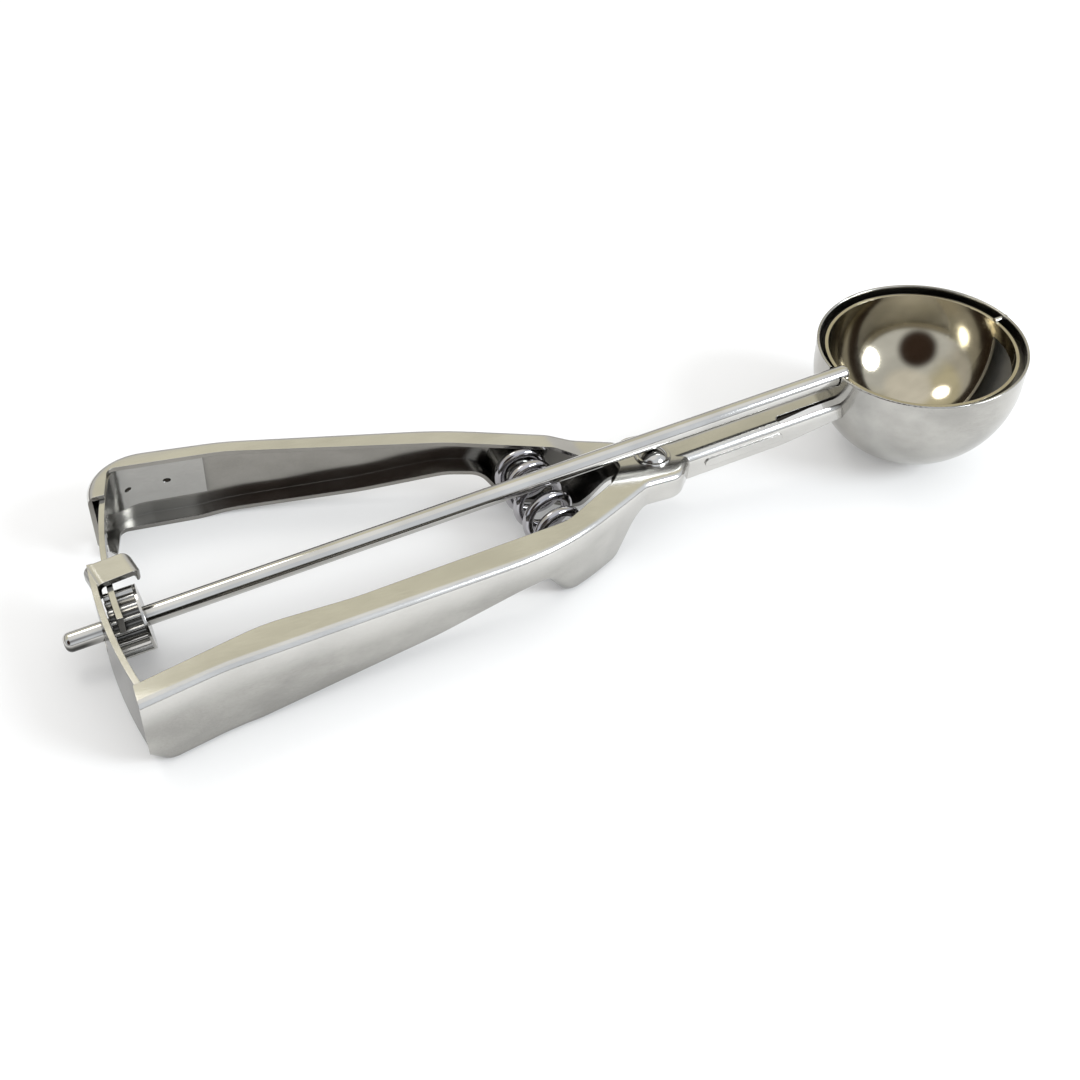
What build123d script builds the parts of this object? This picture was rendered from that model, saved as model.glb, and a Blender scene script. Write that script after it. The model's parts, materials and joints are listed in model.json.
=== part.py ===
from build123d import *
import os
from math import asin, atan, cos, degrees, hypot, pi, radians, sin, sqrt, tan

# Lever ice cream scoop in stainless steel. All sizes are in millimetres.
#
# Handle frame, in which every piece is drawn: the origin is on the pivot axis at the top face of the
# handle flanges, +X runs to the bowl, +Y to the lever handle, +Z up along the pivot.
# Shaft frame: the handle frame tilted up about Y, +X along the ejector rod, same origin.
# REST sets the finished scoop down level, on the two heels and the bowl.

# ---- driving sizes -------------------------------------------------------------------------------
SHEET = 1.0                 # wall of both handle pressings
BEND_EASE = 1.8             # outer radius of the pressed edges of the handles
SHAFT_RISE = 7.3            # degrees that the shaft and rod rise from the handles

BOWL_DIAMETER = 50.4
BOWL_WALL = 0.7
BOWL_SKIRT = 6.2            # straight part above the hemisphere
BOWL_AHEAD = 74.7           # bowl centre ahead of the pivot, along the rod
RIM_ABOVE_ROD = 1.2         # bowl rim above the rod's axis

ROD_DIAMETER = 4.2
ROD_HEIGHT = 4.8            # rod axis above the pivot's flange face
ROD_OUT = 7.5               # rod tail behind the guide plate, along the rod

SHANK_HALF_WIDTH = 4.1
SHANK_DEPTH = 6.4
SHANK_END_DEPTH = 4.6       # depth where the shank meets the bowl
SHANK_EASE = 2.4            # rounding of the shank's top edges
SHANK_BEND = 5.0            # where the shank bends up, ahead of the pivot
SLOT_LENGTH = 17.0          # open slot in the shank's top, back from the bowl
SLOT_NEAR = 3.2
SLOT_FAR = 0.8
PANEL_START = 7.0           # raised panel on each side of the shank, from the bend
PANEL_LENGTH = 21.0
PANEL_HEIGHT = 2.2
PANEL_RAISE = 0.35

EAR_RADIUS = 7.0            # round ears of the lever at the pivot
EAR_GAP = 0.3               # between the nested ears
BOSS_DEPTH = 7.3            # height of the frame at the pivot
RIVET_DIAMETER = 4.0
RIVET_HEAD_DIAMETER = 7.0
RIVET_DOME = 1.6
RIVET_RING_DIAMETER = 8.6
RIVET_RING = 0.5
RUNNING_FIT = 0.07          # radial clearance of a pin that turns in its hole

HEEL_INSIDE = 9.2           # heels of the handles, inside the guide plate's radius
HEEL_DEPTH = 18.8
LOBE_X = -22.0              # deep lobes that hold the spring
LOBE_CLEARANCE = 0.25       # lobes above the table
HEEL_LENGTH = 19.0          # flat under each handle's rear
HEEL_REAR = 3.6             # from the heel's middle to its rear corner
END_HEIGHT = 12.5           # where the handles' ends start to slope to the heels
END_ROOM = 9.0              # how far the side outlines run past the handles' ends
WAIST_DEPTH = 9.1           # shallowest part of the handles, behind the lobes

SPRING_DIAMETER = 12.6
SPRING_WIRE = 1.5
SPRING_TURNS = 6
SPRING_LEVEL = 7.5          # spring axis below the flange face
SPRING_FRAME_END = (-27.8, -14.5)
SPRING_LEVER_END = (-27.2, 15.2)
SEAT_DIAMETER = 11.0
STUD_DIAMETER = 8.2
STUD_LENGTH = 3.0

PLATE_WALL = 1.2            # rear guide plate, an arc about the pivot
PLATE_DEPTH = 18.3
PLATE_END = 8.0             # free end, past the rod
PLATE_CORNER = 6.0
GUIDE_HOLE_DIAMETER = 9.2
LEG_LENGTH = 20.0           # legs welded inside the handles
LEG_BEND = 1.8
HOOK_NEAR = 1.0             # near edge of the hook where it leaves the plate
HOOK_WIDTH = 6.2
HOOK_REACH = 8.4
HOOK_TURN = 12.0            # degrees that the hook slants to the lever's side
HOOK_TIP_RADIUS = 1.8
HOOK_DROP = 1.9
HOOK_TOP = 0.4
HOOK_BEND = 1.4

MODULE = 0.7
PINION_TEETH = 18
PRESSURE_ANGLE = 20.0
BACKLASH = 0.14             # total, at the pitch line
TOOTH_ROOT_CLEARANCE = 0.25
PINION_WIDTH = 5.9
PINION_FLANGE = 0.6
PINION_PLATE_GAP = 1.3      # pinion's rear face to the plate, on the axis
RACK_TEETH_PER_TURN = 348   # teeth that a whole circle of the rack would have
RACK_WALL = 1.2
RACK_PLATE_GAP = 1.6
RACK_TAPER = 13.2           # degrees from the middle plane where the arm starts to deepen
RACK_TOP = 1.1              # top edge of the rack below the flange face
RACK_FREE_END = 8.0         # past the rod, at rest
RACK_TEETH = 16
ARM_DEPTH = 13.5
ARM_BEND = 7.2

EJECTOR_CLEARANCE = 1.4     # ejector to the bowl, about the rod's axis
EJECTOR_WALL = 0.8
EJECTOR_BAND = 3.5          # height of its ring
EJECTOR_RIM = -0.2          # its rim above the rod's axis
BLADE_ANGLE = 110.0         # how far the blade reaches from the far rim
NOTCH_CLEARANCE = 0.3
EJECTOR_PIN_DIAMETER = 1.4
EJECTOR_PIN_OUT = 0.9       # pin standing out of the bowl

# ---- sizes that follow ---------------------------------------------------------------------------
BOWL_RADIUS = BOWL_DIAMETER / 2
EJECTOR_RADIUS = BOWL_RADIUS - BOWL_WALL - EJECTOR_CLEARANCE
ROD_RADIUS = ROD_DIAMETER / 2
RISE = radians(SHAFT_RISE)
SPHERE_DROP = BOWL_SKIRT - RIM_ABOVE_ROD      # centre of the hemisphere below the rod's axis
PITCH_RADIUS = MODULE * PINION_TEETH / 2
RACK_RADIUS = MODULE * RACK_TEETH_PER_TURN / 2
PLATE_RADIUS = RACK_RADIUS + RACK_WALL / 2 + RACK_PLATE_GAP + PLATE_WALL
ROD_TAIL = (PLATE_RADIUS - ROD_HEIGHT * sin(RISE)) / cos(RISE) + ROD_OUT
HEEL_X = -PLATE_RADIUS + HEEL_INSIDE
TOOTH_STEP = pi * MODULE

# Plan corners of the frame pressing as (x, distance from the middle plane, corner radius). The rear
# ones are placed from the guide plate's outer face, the front ones from the pivot.
FRAME_OUTER = [
    (-PLATE_RADIUS + 2.6, 32.2, 0.0), (-PLATE_RADIUS + 19.2, 28.6, 60.0), (-31.6, 21.2, 80.0),
    (-5.5, 8.85, 5.0), (3.4, 8.7, 5.5), (8.0, SHANK_HALF_WIDTH, 0.0),
]
FRAME_EAR = [(8.0, -SHANK_HALF_WIDTH, 0.0), (3.4, -8.0, 4.0), (-4.6, -8.0, 5.0), (-8.6, -2.6, 3.0),
             (-8.6, 1.0, 3.0)]
FRAME_INNER = [(-12.5, 5.0, 6.0), (-28.2, 13.6, 12.0), (-PLATE_RADIUS + 47.2, 19.5, 60.0),
               (-PLATE_RADIUS + 28.2, 20.2, 40.0), (-PLATE_RADIUS + 2.6, 26.7, 0.0)]

# The lever pressing at rest, in the same form.
LEVER_OUTER = [
    (-PLATE_RADIUS + 3.7, 28.33, 0.0), (-PLATE_RADIUS + 3.6, 42.83, 12.5),
    (-PLATE_RADIUS + 34.8, 39.4, 60.0), (-42.0, 26.6, 100.0), (-5.11, 10.25, 3.0), (-0.07, 6.5, 0.0),
]
LEVER_INNER = [
    (-6.02, 1.94, 0.0), (-12.55, 5.07, 6.0), (-20.11, 10.6, 10.0), (-43.2, 20.8, 30.0),
    (-PLATE_RADIUS + 33.8, 34.7, 30.0), (-PLATE_RADIUS + 9.4, 37.0, 2.0),
    (-PLATE_RADIUS + 7.3, 28.37, 0.0),
]

SHAFT = Rotation(0, -SHAFT_RISE, 0)
ROD_LINE = SHAFT * Pos(0, 0, ROD_HEIGHT)      # X axis on the rod's axis
BOWL_PLACE = ROD_LINE * Pos(BOWL_AHEAD, 0, 0)


def rest_slope():
    """Slope of the table in the handle frame: it touches the heels and the bowl's hemisphere."""
    ball = (BOWL_PLACE * Pos(0, 0, -SPHERE_DROP)).position
    run = ball.X - HEEL_X
    rise = ball.Z + HEEL_DEPTH
    return tan(atan(rise / run) - asin(BOWL_RADIUS / hypot(run, rise)))


TABLE_SLOPE = rest_slope()


def table_level(x):
    return -HEEL_DEPTH + TABLE_SLOPE * (x - HEEL_X)


def rod_level(x):
    """Height of the rod's axis above the flange face."""
    return ROD_HEIGHT / cos(RISE) + x * tan(RISE)


LOBE_BOTTOM = table_level(LOBE_X) + LOBE_CLEARANCE


# ---- drawing helpers -----------------------------------------------------------------------------
def rounded(corners):
    """Closed face through (x, y, radius) corners."""
    path = FilletPolyline(*[c[:2] for c in corners], radius=[c[2] for c in corners], close=True)
    return make_face(path)


def open_path(corners):
    """Open line through (x, y, radius) corners."""
    return FilletPolyline(*[c[:2] for c in corners], radius=[c[2] for c in corners[1:-1]])


def inset(corners, gap):
    """Open corners moved by gap to the right of their direction, with concentric radii."""
    points = [Vector(x, y) for x, y, radius in corners]
    along = [(b - a).normalized() for a, b in zip(points, points[1:])]
    side = [Vector(d.Y, -d.X) * gap for d in along]
    first, last = points[0] + side[0], points[-1] + side[-1]
    moved = [(first.X, first.Y, 0.0)]
    for i in range(1, len(points) - 1):
        turn = along[i - 1].cross(along[i]).Z
        half = (along[i - 1] + along[i]).normalized()
        corner = points[i] + Vector(half.Y, -half.X) * (gap / half.dot(along[i]))
        radius = corners[i][2] + (gap if turn > 0 else -gap)
        moved.append((corner.X, corner.Y, max(radius, 0.0) if corners[i][2] else 0.0))
    moved.append((last.X, last.Y, 0.0))
    return moved


def upright(face, low, high):
    """Plan face as a solid between two levels."""
    return Pos(0, 0, low) * extrude(face, high - low)


def side_view(corners, half_width=70.0):
    """Solid with the (x, z, radius) outline, across the whole width."""
    return extrude(Plane.XZ * rounded(corners), half_width, both=True)


def edges_along(solid, corners):
    """Top and bottom edges of solid that follow the plan corners."""
    line = open_path(corners)
    found = []
    for edge in solid.edges():
        spots = [edge @ 0, edge @ 0.5, edge @ 1]
        on_line = all(line.distance_to(Vector(p.X, p.Y, 0)) < 0.01 for p in spots)
        if on_line and hypot(spots[0].X - spots[2].X, spots[0].Y - spots[2].Y) > 0.01:
            found.append(edge)
    return found


def rod_bar(radius, start, length):
    """Round bar along the rod's axis from start, measured from the pivot."""
    bar = Plane.YZ * Circle(radius)
    return ROD_LINE * Pos(start, 0, 0) * extrude(bar, length)


# ---- handle pressings ----------------------------------------------------------------------------
EAR_TOP = -SHEET - EAR_GAP                    # lever's ears lie between the frame's
EAR_BOTTOM = -BOSS_DEPTH + SHEET + EAR_GAP
EAR_REACH = 9.0                               # how far the side outlines run past the pivot
LEVER_SHORT = 2.6                             # lever's rear end ahead of the frame's
MOUTH_SIDE = 20.0                             # how far the spaces inside run out of their open sides


def underside(ear_bottom, heel_rear, end, wall):
    """Lower side outline of a handle from its front to its rear; wall gives the inner face."""
    lobe = LOBE_BOTTOM + wall
    slant = 0.4 * wall
    heel_front = heel_rear + HEEL_LENGTH
    return [
        (EAR_REACH, ear_bottom + wall, 0.0), (-8.3, ear_bottom + wall, 6.0),
        (LOBE_X + 7.6 - slant, lobe, 4.0 - wall), (LOBE_X - 7.4 + slant, lobe, 5.0 - wall),
        (LOBE_X - 13.6 + slant, -WAIST_DEPTH + wall, 4.0 + wall),
        (LOBE_X - 21.0, -WAIST_DEPTH - 0.4 + wall, 25.0), (LOBE_X - 40.0, -13.5 + wall, 60.0),
        (heel_front, table_level(heel_front) + wall, 20.0),
        (heel_rear, table_level(heel_rear) + wall, 4.0 - wall), (end, -END_HEIGHT + wall, 0.0),
    ]


def frame_side(wall=0.0):
    heel_rear = HEEL_X - HEEL_REAR
    end = HEEL_X - END_ROOM - 3 * wall
    return [(end, -wall, 0.0), (EAR_REACH, -wall, 0.0)] + underside(-BOSS_DEPTH, heel_rear, end, wall)


def lever_side(wall=0.0):
    heel_rear = HEEL_X - HEEL_REAR + LEVER_SHORT
    end = HEEL_X - END_ROOM + LEVER_SHORT - 3 * wall
    top = [(end, -wall, 0.0), (-20.0, -wall, 8.0), (-14.5, EAR_TOP - wall, 8.0),
           (EAR_REACH, EAR_TOP - wall, 0.0)]
    return top + underside(EAR_BOTTOM, heel_rear, end, wall)


def pressing(plan, outer, side):
    """Outer form of a handle pressing, its long edges rounded."""
    blank = upright(plan, -30.0, 5.0) & side_view(side)
    return fillet(edges_along(blank, outer), BEND_EASE)


def hollow(outer, mouth, side):
    """Space inside a pressing: from the inner face of its outer wall out through the mouth corners."""
    wall = inset(outer, SHEET)
    first, second = Vector(*wall[0][:2]), Vector(*wall[1][:2])
    start = first - (second - first).normalized() * 6
    corners = [(start.X, start.Y, 0.0)] + wall[1:] + mouth
    return upright(rounded(corners), -30.0, 5.0) & side_view(side, 90.0)


def frame_hollow():
    mouth = [(7.6, -MOUTH_SIDE, 0.0), (-PLATE_RADIUS - 4, -MOUTH_SIDE, 0.0)]
    space = hollow(FRAME_OUTER, mouth, frame_side(SHEET))
    return mirror(space, Plane.XZ)


def lever_hollow():
    mouth = [(-2.0, 16.0, 0.0), (MOUTH_SIDE, 16.0, 0.0), (MOUTH_SIDE, -MOUTH_SIDE, 0.0),
             (-PLATE_RADIUS - 4, -MOUTH_SIDE, 0.0)]
    return hollow(LEVER_OUTER[:-1], mouth, lever_side(SHEET))


MEET = BOWL_AHEAD - SHANK_BEND - BOWL_RADIUS  # shank's length from its bend to the bowl
BEND_PLACE = Pos(SHANK_BEND, 0, 0) * SHAFT


def shank():
    """Channel that carries the bowl: rounded top edges, raised side panels, open below."""
    side = side_view([
        (0.0, 0.0, 0.0), (MEET + 12, 0.0, 0.0), (MEET + 12, -SHANK_END_DEPTH, 0.0),
        (MEET, -SHANK_END_DEPTH, 0.0), (MEET - 16, -SHANK_DEPTH, 30.0), (0.0, -SHANK_DEPTH, 0.0),
    ], SHANK_HALF_WIDTH)
    long_edges = [e for e in side.edges().group_by(Axis.Z)[-1] if e.length > MEET]
    bar = fillet(long_edges, SHANK_EASE)
    panel = Plane.XZ * Pos(PANEL_START + PANEL_LENGTH / 2, -SHANK_EASE - PANEL_HEIGHT / 2)
    panel = extrude(panel * SlotOverall(PANEL_LENGTH, PANEL_HEIGHT), SHANK_HALF_WIDTH + PANEL_RAISE,
                    both=True)
    return BEND_PLACE * (bar + panel)


def shank_space():
    """Inside of the shank, open below, and the slot in its top beside the bowl."""
    inner = side_view([
        (0.0, -SHEET, 0.0), (MEET + 12, -SHEET, 0.0), (MEET + 12, -12.0, 0.0), (4.2, -12.0, 0.0),
        (4.2, SHEET - BOSS_DEPTH, 0.0), (0.0, SHEET - BOSS_DEPTH, 0.0),
    ], SHANK_HALF_WIDTH - SHEET)
    slot_width = SLOT_NEAR - SLOT_FAR
    slot = Pos(MEET - SLOT_LENGTH / 2 + 6, -SLOT_FAR - slot_width / 2, 0)
    slot = slot * extrude(SlotOverall(SLOT_LENGTH + 12, slot_width), 2 * SHEET, both=True)
    return BEND_PLACE * (inner + slot)


def frame_handle():
    plan = rounded(FRAME_OUTER + FRAME_EAR + FRAME_INNER)
    outer = mirror(pressing(plan, FRAME_OUTER, frame_side()), Plane.XZ)
    rivet_hole = Pos(0, 0, -BOSS_DEPTH / 2) * Cylinder(RIVET_DIAMETER / 2, 2 * BOSS_DEPTH)
    return outer + shank() - frame_hollow() - shank_space() - rivet_hole - bowl_form(BOWL_RADIUS)


def lever_handle():
    plan = rounded(LEVER_OUTER + LEVER_INNER) + Circle(EAR_RADIUS)
    hole = Cylinder(RIVET_DIAMETER / 2 + RUNNING_FIT, 4 * BOSS_DEPTH)
    return pressing(plan, LEVER_OUTER, lever_side()) - lever_hollow() - hole


# ---- pivot ---------------------------------------------------------------------------------------
def dome(radius, height):
    """Round cap of a rivet, flat side down on z = 0."""
    ball = (radius ** 2 + height ** 2) / (2 * height)
    return Pos(0, 0, height - ball) * Sphere(ball) & Pos(0, 0, height) * Cylinder(radius, 2 * height)


def pivot_rivet():
    shaft = upright(Circle(RIVET_DIAMETER / 2), -BOSS_DEPTH, RIVET_RING)
    head = Pos(0, 0, RIVET_RING) * dome(RIVET_HEAD_DIAMETER / 2, RIVET_DOME)
    foot = Pos(0, 0, -BOSS_DEPTH) * Rotation(180, 0, 0) * dome(RIVET_HEAD_DIAMETER / 2, RIVET_DOME / 2)
    return shaft + head + foot


def rivet_ring():
    face = Circle(RIVET_RING_DIAMETER / 2) - Circle(RIVET_DIAMETER / 2)
    ring = extrude(face, RIVET_RING)
    return chamfer(ring.edges().group_by(Axis.Z)[-1].sort_by(SortBy.RADIUS)[-1], RIVET_RING / 2)


# ---- bowl and ejector ----------------------------------------------------------------------------
def bowl_form(radius):
    """Solid of the bowl's shape to a given radius: hemisphere with a straight skirt above it."""
    skirt = Pos(0, 0, -SPHERE_DROP) * extrude(Circle(radius), BOWL_SKIRT)
    return BOWL_PLACE * (skirt + Pos(0, 0, -SPHERE_DROP) * Sphere(radius))


def bowl():
    profile = BOWL_PLACE.inverse() * bowl_form(BOWL_RADIUS)
    inside = BOWL_PLACE.inverse() * bowl_form(BOWL_RADIUS - BOWL_WALL)
    top = Pos(0, 0, RIM_ABOVE_ROD + BOWL_RADIUS) * Box(*[2.2 * BOWL_RADIUS] * 2, 2 * BOWL_RADIUS)
    shell = profile - inside - top
    shell = fillet(shell.edges().group_by(Axis.Z)[-1], BOWL_WALL * 0.4)
    notch_radius = ROD_RADIUS + NOTCH_CLEARANCE
    notch = Plane.YZ * (Circle(notch_radius) + Pos(0, notch_radius) * Rectangle(*[2 * notch_radius] * 2))
    notch = Pos(-BOWL_RADIUS - 2, 0, 0) * extrude(notch, 6)
    hole = Plane.YZ * Circle(EJECTOR_PIN_DIAMETER / 2 + RUNNING_FIT)
    hole = Pos(BOWL_RADIUS - 3, 0, 0) * extrude(hole, 6)
    return BOWL_PLACE * (shell - notch - hole)


def ejector():
    """Ring that turns inside the bowl, with a wide blade over its far side."""
    shell = Sphere(EJECTOR_RADIUS) - Sphere(EJECTOR_RADIUS - EJECTOR_WALL)
    size = 3 * EJECTOR_RADIUS
    below_rim = Pos(0, 0, EJECTOR_RIM - size / 2) * Box(size, size, size)
    band = Pos(0, 0, EJECTOR_RIM - EJECTOR_BAND / 2) * Box(size, size, EJECTOR_BAND)
    sweep_side = Rotation(-BLADE_ANGLE, 0, 0) * Pos(0, 0, size / 2) * Box(size, size, size)
    return BOWL_PLACE * (shell & (band + (below_rim & sweep_side)))


def ejector_rod():
    reach = ROD_TAIL + BOWL_AHEAD - EJECTOR_RADIUS + EJECTOR_WALL + 0.5
    bar = rod_bar(ROD_RADIUS, -ROD_TAIL, reach)
    ends = bar.edges().filter_by(GeomType.CIRCLE)
    bar = fillet(ends, ROD_RADIUS * 0.6)
    return bar - ejector()


def ejector_pin():
    pin = Plane.YZ * Circle(EJECTOR_PIN_DIAMETER / 2)
    start = EJECTOR_RADIUS - EJECTOR_WALL
    pin = extrude(pin, BOWL_RADIUS + EJECTOR_PIN_OUT - start)
    pin = fillet(pin.edges().group_by(Axis.X)[-1], EJECTOR_PIN_DIAMETER * 0.25)
    return BOWL_PLACE * Pos(start, 0, 0) * pin - ejector()


# ---- rear: guide plate, pinion and rack ----------------------------------------------------------
def bent_strip(outer, index, radius, wall, bend, leg, free_end):
    """Plan of a strip that lies along a handle's inner face and turns to an arc about the pivot."""
    def bounded(gap, arc_radius):
        line = inset(outer, gap)
        start, finish = Vector(*line[index][:2]), Vector(*line[index + 1][:2])
        way = (finish - start).normalized()
        reach = sqrt(arc_radius ** 2 - start.dot(start) + start.dot(way) ** 2)
        corner = start - way * (start.dot(way) + reach)
        far = 1.2 * arc_radius
        edge = [corner - way * far / 2, corner + way * far, Vector(far, -far), Vector(-2 * far, -far)]
        return Circle(arc_radius) & make_face(Polyline(*edge, close=True)), corner

    outside, outer_corner = bounded(SHEET, radius)
    inside, inner_corner = bounded(SHEET + wall, radius - wall)
    reach = Pos(outer_corner.X + leg - radius, radius - free_end) * Rectangle(2 * radius, 2 * radius)
    strip = (outside - inside) & reach
    for corner, size in ((outer_corner, bend + wall), (inner_corner, bend)):
        nearest = min(strip.vertices(), key=lambda v: (Vector(v) - corner).length)
        strip = fillet(nearest, size)
    return strip


def guide_plate():
    """Plate across the rear with the rod's hole, a leg in the frame and a hook over the rack."""
    plan = bent_strip(FRAME_OUTER, 0, PLATE_RADIUS, PLATE_WALL, LEG_BEND, LEG_LENGTH, PLATE_END)
    blank = mirror(upright(plan, -PLATE_DEPTH, 0.0), Plane.XZ)
    near = -FRAME_INNER[-1][1] - SHEET
    face = rounded([
        (near, 0.0, 0.0), (PLATE_END + SHEET, 0.0, 0.0),
        (PLATE_END + SHEET, -PLATE_DEPTH, PLATE_CORNER), (near, -PLATE_DEPTH, 0.0),
    ])
    across = Pos(-PLATE_RADIUS - 5, 0, 0) * extrude(Plane.YZ * face, 12)
    hole = rod_bar(GUIDE_HOLE_DIAMETER / 2, plate_along_rod() - 6 * PLATE_WALL, 9 * PLATE_WALL)
    plate = (blank & (across + frame_hollow())) + hook() - hole
    return plate - frame_pressing


def hook():
    """Tab folded forward from the plate, over the rack, with its tip turned down."""
    mid = HOOK_TOP - PLATE_WALL / 2
    line = FilletPolyline((0, -3.0), (0, mid), (HOOK_REACH, mid), (HOOK_REACH, mid - HOOK_DROP),
                          radius=HOOK_BEND)
    strip = make_face(offset(line, PLATE_WALL / 2, kind=Kind.INTERSECTION).edges())
    strip = extrude(Plane.XZ * strip, HOOK_WIDTH / 2, both=True)
    tip = HOOK_REACH + PLATE_WALL / 2
    side = HOOK_WIDTH / 2
    plan = rounded([(-PLATE_WALL, -side, 0.0), (tip, -side, HOOK_TIP_RADIUS),
                    (tip, side, HOOK_TIP_RADIUS), (-PLATE_WALL, side, 0.0)])
    place = Pos(-PLATE_RADIUS + PLATE_WALL / 2, HOOK_NEAR + side, 0) * Rotation(0, 0, HOOK_TURN)
    return place * (strip & upright(plan, -PLATE_DEPTH, PLATE_DEPTH))


def tooth(root_radius):
    """One pinion tooth, pointing up, with involute flanks."""
    base_radius = PITCH_RADIUS * cos(radians(PRESSURE_ANGLE))
    tip_radius = PITCH_RADIUS + MODULE

    def involute(radius):
        steep = sqrt((radius / base_radius) ** 2 - 1)
        return steep - atan(steep)

    half_at_pitch = (TOOTH_STEP - BACKLASH) / (4 * PITCH_RADIUS)

    def flank(radius):
        angle = pi / 2 - half_at_pitch - involute(PITCH_RADIUS) + involute(radius)
        return (radius * cos(angle), radius * sin(angle))

    radii = [base_radius + (tip_radius - base_radius) * i / 4 for i in range(5)]
    right = [flank(r) for r in radii]
    left = [(-x, y) for x, y in right]
    foot = (right[0][0], root_radius * 0.9)
    outline = [
        Spline(*right), ThreePointArc(right[-1], (0, tip_radius), left[-1]), Spline(*left),
        Line(left[0], (-foot[0], foot[1])), Line((-foot[0], foot[1]), foot), Line(foot, right[0]),
    ]
    return make_face(outline)


def plate_along_rod():
    """Inner face of the guide plate, measured along the rod's axis from the pivot."""
    return (ROD_HEIGHT * sin(RISE) - PLATE_RADIUS + PLATE_WALL) / cos(RISE)


def pinion():
    root_radius = PITCH_RADIUS - MODULE * (1 + TOOTH_ROOT_CLEARANCE)
    wheel = Circle(root_radius)
    for i in range(PINION_TEETH):
        wheel += Rotation(0, 0, i * 360 / PINION_TEETH) * tooth(root_radius)
    toothed = extrude(Plane.YZ * (wheel - Circle(ROD_RADIUS)), PINION_WIDTH)
    flange = Plane.YZ * (Circle(PITCH_RADIUS + MODULE) - Circle(ROD_RADIUS))
    flange = Pos(PINION_WIDTH, 0, 0) * extrude(flange, PINION_FLANGE)
    return ROD_LINE * Pos(plate_along_rod() + PINION_PLATE_GAP, 0, 0) * (toothed + flange)


def rack_pitch_level():
    """Height of the rack's pitch line: the pinion touches it above the rod."""
    return rod_level(PITCH_RADIUS * sin(RISE) - RACK_RADIUS) + PITCH_RADIUS * cos(RISE)


def tooth_gap(bottom):
    """Gap between two rack teeth, across the rack's wall at y = 0."""
    pitch = rack_pitch_level()
    slope = tan(radians(PRESSURE_ANGLE))
    half = (TOOTH_STEP + BACKLASH) / 4
    top = pitch + MODULE * (1 + TOOTH_ROOT_CLEARANCE)
    wide = half + (pitch - bottom) * slope
    narrow = half - (top - pitch) * slope
    face = make_face(Polyline((-wide, bottom), (wide, bottom), (narrow, top), (-narrow, top), close=True))
    return Pos(-RACK_RADIUS - 2.5 * RACK_WALL, 0, 0) * extrude(Plane.YZ * face, 5 * RACK_WALL)


def rack():
    """Toothed strip about the pivot, its arm and the leg in the lever."""
    plan = bent_strip(LEVER_OUTER, 1, RACK_RADIUS + RACK_WALL / 2, RACK_WALL, ARM_BEND, LEG_LENGTH,
                      RACK_FREE_END)
    tips = rack_pitch_level() - MODULE
    taper = RACK_RADIUS * sin(radians(RACK_TAPER))
    side = rounded([
        (-RACK_RADIUS, -RACK_TOP, 0.0), (RACK_RADIUS, -RACK_TOP, 0.0),
        (RACK_RADIUS, -ARM_DEPTH, 0.0), (taper + 10, -ARM_DEPTH, 8.0), (taper, tips, 5.0),
        (-RACK_RADIUS, tips, 0.0),
    ])
    across = Pos(-1.2 * RACK_RADIUS, 0, 0) * extrude(Plane.YZ * side, RACK_RADIUS)
    arm = upright(plan, -ARM_DEPTH, 0.0) & across
    step = 360 / RACK_TEETH_PER_TURN
    spare = int(RACK_FREE_END / TOOTH_STEP)
    gaps = [Rotation(0, 0, -(i - spare) * step) * tooth_gap(tips - 1) for i in range(RACK_TEETH)]
    return arm - gaps - lever_pressing


# ---- spring --------------------------------------------------------------------------------------
def spring_place():
    """Where the spring stands, its Z axis from the frame's seat to the lever's, and its length."""
    start = Vector(*SPRING_FRAME_END, -SPRING_LEVEL)
    finish = Vector(*SPRING_LEVER_END, -SPRING_LEVEL)
    return Plane(origin=start, z_dir=finish - start).location, (finish - start).length


def return_spring():
    place, length = spring_place()
    room = length - 1.5 * SPRING_WIRE
    coil = Helix(pitch=room / SPRING_TURNS, height=room, radius=(SPRING_DIAMETER - SPRING_WIRE) / 2)
    wire = sweep(Plane(origin=coil @ 0, z_dir=coil % 0) * Circle(SPRING_WIRE / 2), path=coil,
                 is_frenet=True)
    return place * Pos(0, 0, 0.75 * SPRING_WIRE) * wire


def spring_seat():
    """Seat with a stud for the spring's end, standing on z = 0 and pointing up."""
    base = Pos(0, 0, -4) * Cylinder(SEAT_DIAMETER / 2, 8)
    stud = Pos(0, 0, STUD_LENGTH / 2) * Cylinder(STUD_DIAMETER / 2, STUD_LENGTH)
    stud = fillet(stud.edges().group_by(Axis.Z)[-1], 1.0)
    return base + stud


def frame_spring_seat():
    place, length = spring_place()
    return place * spring_seat() & frame_hollow()


def lever_spring_seat():
    place, length = spring_place()
    return place * Pos(0, 0, length) * Rotation(180, 0, 0) * spring_seat() & lever_hollow()


# ---- the whole scoop -----------------------------------------------------------------------------
def set_down(pieces):
    """Location that levels the scoop and centres it on the origin."""
    level = Rotation(0, degrees(atan(TABLE_SLOPE)), 0)
    boxes = [(level * piece).bounding_box() for piece in pieces]
    low = [min(getattr(b.min, axis) for b in boxes) for axis in "XYZ"]
    high = [max(getattr(b.max, axis) for b in boxes) for axis in "XYZ"]
    return Pos(-(low[0] + high[0]) / 2, -(low[1] + high[1]) / 2, -low[2]) * level


frame_pressing = frame_handle()
lever_pressing = lever_handle()
PIECES = {
    "frame_handle": frame_pressing,
    "bowl": bowl(),
    "pivot_rivet": pivot_rivet(),
    "rivet_ring": rivet_ring(),
    "rear_guide_plate": guide_plate(),
    "frame_spring_seat": frame_spring_seat(),
    "return_spring": return_spring(),
    "lever_handle": lever_pressing,
    "lever_spring_seat": lever_spring_seat(),
    "rack": rack(),
    "ejector_rod": ejector_rod(),
    "pinion": pinion(),
    "ejector": ejector(),
    "ejector_pin": ejector_pin(),
}
REST = set_down(PIECES.values())

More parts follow.
